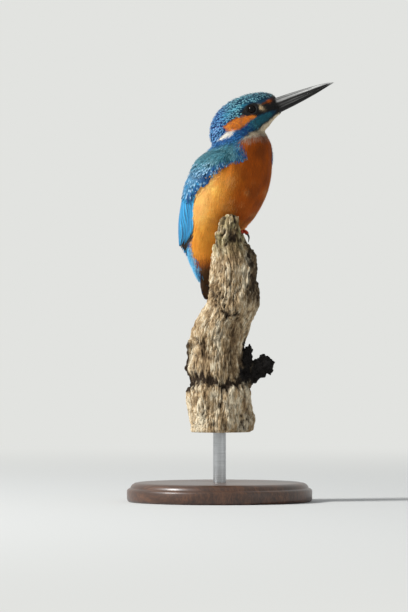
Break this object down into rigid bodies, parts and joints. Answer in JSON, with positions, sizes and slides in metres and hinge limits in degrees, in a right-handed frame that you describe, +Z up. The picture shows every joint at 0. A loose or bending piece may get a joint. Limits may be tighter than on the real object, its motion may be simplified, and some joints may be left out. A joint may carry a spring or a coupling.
{
  "type": "kingfisher display model",
  "caption": "Life-size perched kingfisher with a raised dagger bill, on a short cut length of dead branch held by one rod on a round flat base.",
  "frame": {"origin": "centre of the round base's underside, on the floor", "axes": "+Z up; +X is the way the bird's breast faces; +Y is to the bird's left"},
  "size_m": [0.1185, 0.116, 0.2616],
  "materials": {
    "feathers_blue": "glossy overlapping feathers, teal to azure",
    "feathers_wing": "folded feathers, teal and blue with azure edges",
    "feathers_orange": "soft matt feathers, rufous orange",
    "bill_horn": "black horn with a dull sheen",
    "eye": "wet dark brown eye",
    "foot_skin": "coral red scaly skin with black claws",
    "dead_wood": "weathered bare dead wood with patches of bark",
    "stand_metal": "satin steel rod",
    "stand_wood": "dark stained and waxed hardwood"
  },
  "bodies": {
    "root": {"head": "feathers_blue", "neck": "feathers_blue", "trunk": "feathers_orange", "tail": "feathers_wing", "wing_left": "feathers_wing", "wing_right": "feathers_wing", "leg_left": "foot_skin", "leg_right": "foot_skin", "foot_left": "foot_skin", "foot_right": "foot_skin", "eye_left": "eye", "eye_right": "eye", "bill_upper": "bill_horn", "bill_lower": "bill_horn", "perch_branch": "dead_wood", "stand_rod": "stand_metal", "stand_base": "stand_wood"}
  },
  "joints": []
}
